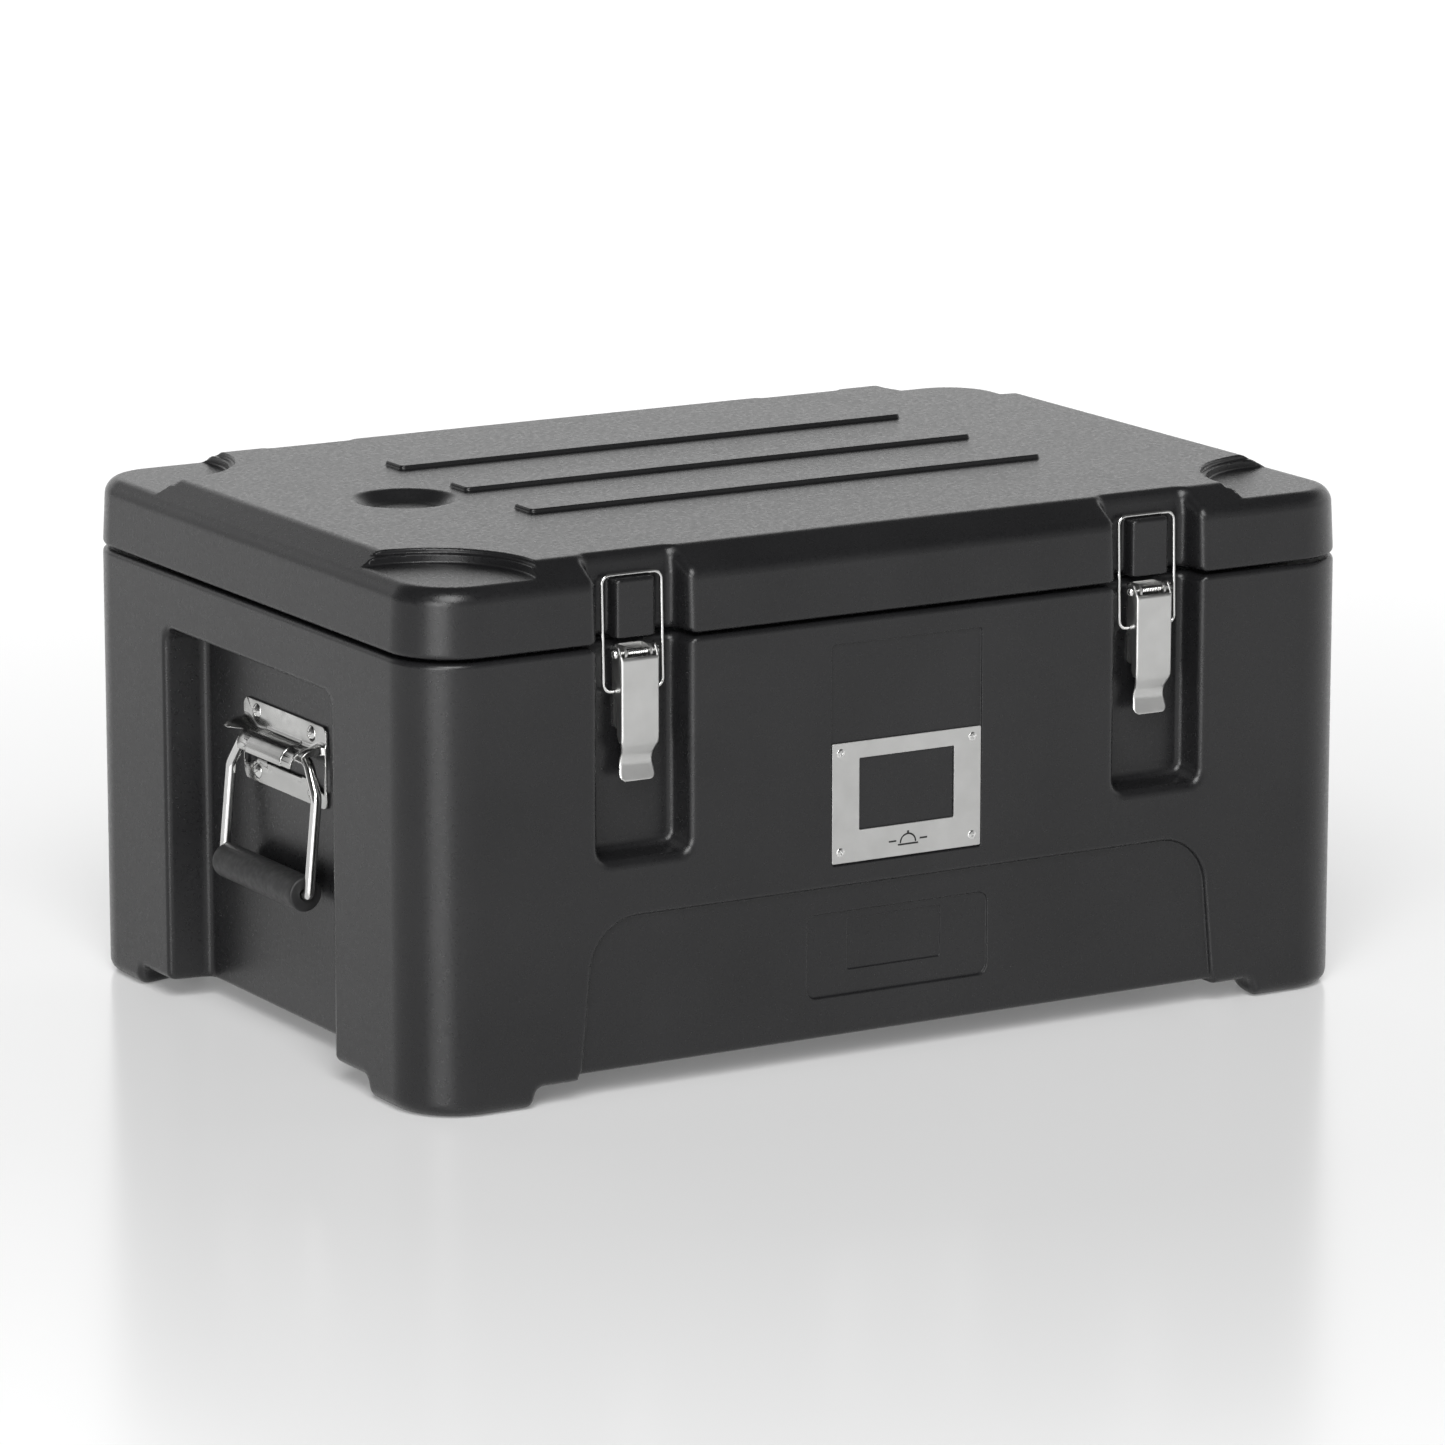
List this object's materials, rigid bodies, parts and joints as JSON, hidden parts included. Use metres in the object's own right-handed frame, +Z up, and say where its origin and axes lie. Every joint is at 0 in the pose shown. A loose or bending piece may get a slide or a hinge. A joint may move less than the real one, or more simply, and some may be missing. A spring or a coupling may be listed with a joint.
{
  "type": "insulated food carrier",
  "caption": "Top-loading insulated carrier for a deep catering pan, with a lift-off lid, toggle latches, a drop handle at each end and a blank menu plate.",
  "frame": {"origin": "on the floor, under the middle of the box", "axes": "+X along the long front from left to right, +Y from the front with the menu plate to the rear, +Z up"},
  "size_m": [0.64, 0.441, 0.3175],
  "materials": {
    "black_plastic": "rotomoulded polyethylene with a fine matte grain",
    "foam": "rigid polyurethane foam",
    "seal_silicone": "soft grey silicone",
    "brushed_steel": "stainless sheet with a fine straight grain",
    "bright_steel": "bright drawn stainless wire and fasteners",
    "grip_rubber": "smooth black rubber sleeve"
  },
  "bodies": {
    "carrier": {"body_shell": "black_plastic", "body_foam": "foam", "body_fill_plug": "black_plastic", "menu_plate": "brushed_steel", "foot_front_left": "black_plastic", "foot_front_right": "black_plastic", "foot_rear_left": "black_plastic", "foot_rear_right": "black_plastic", "menu_screw_1": "bright_steel", "menu_screw_2": "bright_steel", "menu_screw_3": "bright_steel", "menu_screw_4": "bright_steel", "latch_front_left_base": "brushed_steel", "latch_front_left_pin": "bright_steel", "latch_front_left_spring": "bright_steel", "latch_front_left_rivet_1": "bright_steel", "latch_front_left_rivet_2": "bright_steel", "latch_front_right_base": "brushed_steel", "latch_front_right_pin": "bright_steel", "latch_front_right_spring": "bright_steel", "latch_front_right_rivet_1": "bright_steel", "latch_front_right_rivet_2": "bright_steel", "latch_rear_left_base": "brushed_steel", "latch_rear_left_pin": "bright_steel", "latch_rear_left_spring": "bright_steel", "latch_rear_left_rivet_1": "bright_steel", "latch_rear_left_rivet_2": "bright_steel", "latch_rear_right_base": "brushed_steel", "latch_rear_right_pin": "bright_steel", "latch_rear_right_spring": "bright_steel", "latch_rear_right_rivet_1": "bright_steel", "latch_rear_right_rivet_2": "bright_steel", "handle_left_plate": "brushed_steel", "handle_left_screw_1": "bright_steel", "handle_left_screw_2": "bright_steel", "handle_left_screw_3": "bright_steel", "handle_left_screw_4": "bright_steel", "handle_right_plate": "brushed_steel", "handle_right_screw_1": "bright_steel", "handle_right_screw_2": "bright_steel", "handle_right_screw_3": "bright_steel", "handle_right_screw_4": "bright_steel"},
    "lid": {"lid_shell": "black_plastic", "lid_foam": "foam", "lid_fill_plug": "black_plastic", "lid_seal": "seal_silicone"},
    "lever_front_left": {"latch_front_left_lever": "brushed_steel"},
    "bail_front_left": {"latch_front_left_bail": "bright_steel"},
    "lever_front_right": {"latch_front_right_lever": "brushed_steel"},
    "bail_front_right": {"latch_front_right_bail": "bright_steel"},
    "lever_rear_left": {"latch_rear_left_lever": "brushed_steel"},
    "bail_rear_left": {"latch_rear_left_bail": "bright_steel"},
    "lever_rear_right": {"latch_rear_right_lever": "brushed_steel"},
    "bail_rear_right": {"latch_rear_right_bail": "bright_steel"},
    "handle_left": {"handle_left_bail": "bright_steel", "handle_left_grip": "grip_rubber"},
    "handle_right": {"handle_right_bail": "bright_steel", "handle_right_grip": "grip_rubber"}
  },
  "joints": [
    {"name": "lid_lift", "type": "slide", "parent": "carrier", "child": "lid", "axis": [0, 0, 1], "range_m": [0, 0.3]},
    {"name": "lever_front_left", "type": "hinge", "parent": "carrier", "child": "lever_front_left", "pos_m": [-0.176, -0.2085, 0.2575], "axis": [-1, 0, 0], "range_deg": [0, 120], "stiffness_Nm_per_rad": 0.02},
    {"name": "bail_front_left", "type": "hinge", "parent": "lever_front_left", "child": "bail_front_left", "pos_m": [-0.176, -0.206, 0.2353], "axis": [-1, 0, 0], "range_deg": [-150, 0]},
    {"name": "lever_front_right", "type": "hinge", "parent": "carrier", "child": "lever_front_right", "pos_m": [0.176, -0.2085, 0.2575], "axis": [-1, 0, 0], "range_deg": [0, 120], "stiffness_Nm_per_rad": 0.02},
    {"name": "bail_front_right", "type": "hinge", "parent": "lever_front_right", "child": "bail_front_right", "pos_m": [0.176, -0.206, 0.2353], "axis": [-1, 0, 0], "range_deg": [-150, 0]},
    {"name": "lever_rear_left", "type": "hinge", "parent": "carrier", "child": "lever_rear_left", "pos_m": [-0.176, 0.2085, 0.2575], "axis": [1, 0, 0], "range_deg": [0, 120], "stiffness_Nm_per_rad": 0.02},
    {"name": "bail_rear_left", "type": "hinge", "parent": "lever_rear_left", "child": "bail_rear_left", "pos_m": [-0.176, 0.206, 0.2353], "axis": [1, 0, 0], "range_deg": [-150, 0]},
    {"name": "lever_rear_right", "type": "hinge", "parent": "carrier", "child": "lever_rear_right", "pos_m": [0.176, 0.2085, 0.2575], "axis": [1, 0, 0], "range_deg": [0, 120], "stiffness_Nm_per_rad": 0.02},
    {"name": "bail_rear_right", "type": "hinge", "parent": "lever_rear_right", "child": "bail_rear_right", "pos_m": [0.176, 0.206, 0.2353], "axis": [1, 0, 0], "range_deg": [-150, 0]},
    {"name": "handle_left", "type": "hinge", "parent": "carrier", "child": "handle_left", "pos_m": [-0.3005, 0, 0.175], "axis": [0, 1, 0], "range_deg": [0, 90]},
    {"name": "handle_right", "type": "hinge", "parent": "carrier", "child": "handle_right", "pos_m": [0.3005, 0, 0.175], "axis": [0, -1, 0], "range_deg": [0, 90]}
  ],
  "couplings": [
    {"joint": "bail_front_left", "follows": "lever_front_left", "ratio": -1.25},
    {"joint": "bail_front_right", "follows": "lever_front_right", "ratio": -1.25},
    {"joint": "bail_rear_left", "follows": "lever_rear_left", "ratio": -1.25},
    {"joint": "bail_rear_right", "follows": "lever_rear_right", "ratio": -1.25}
  ]
}
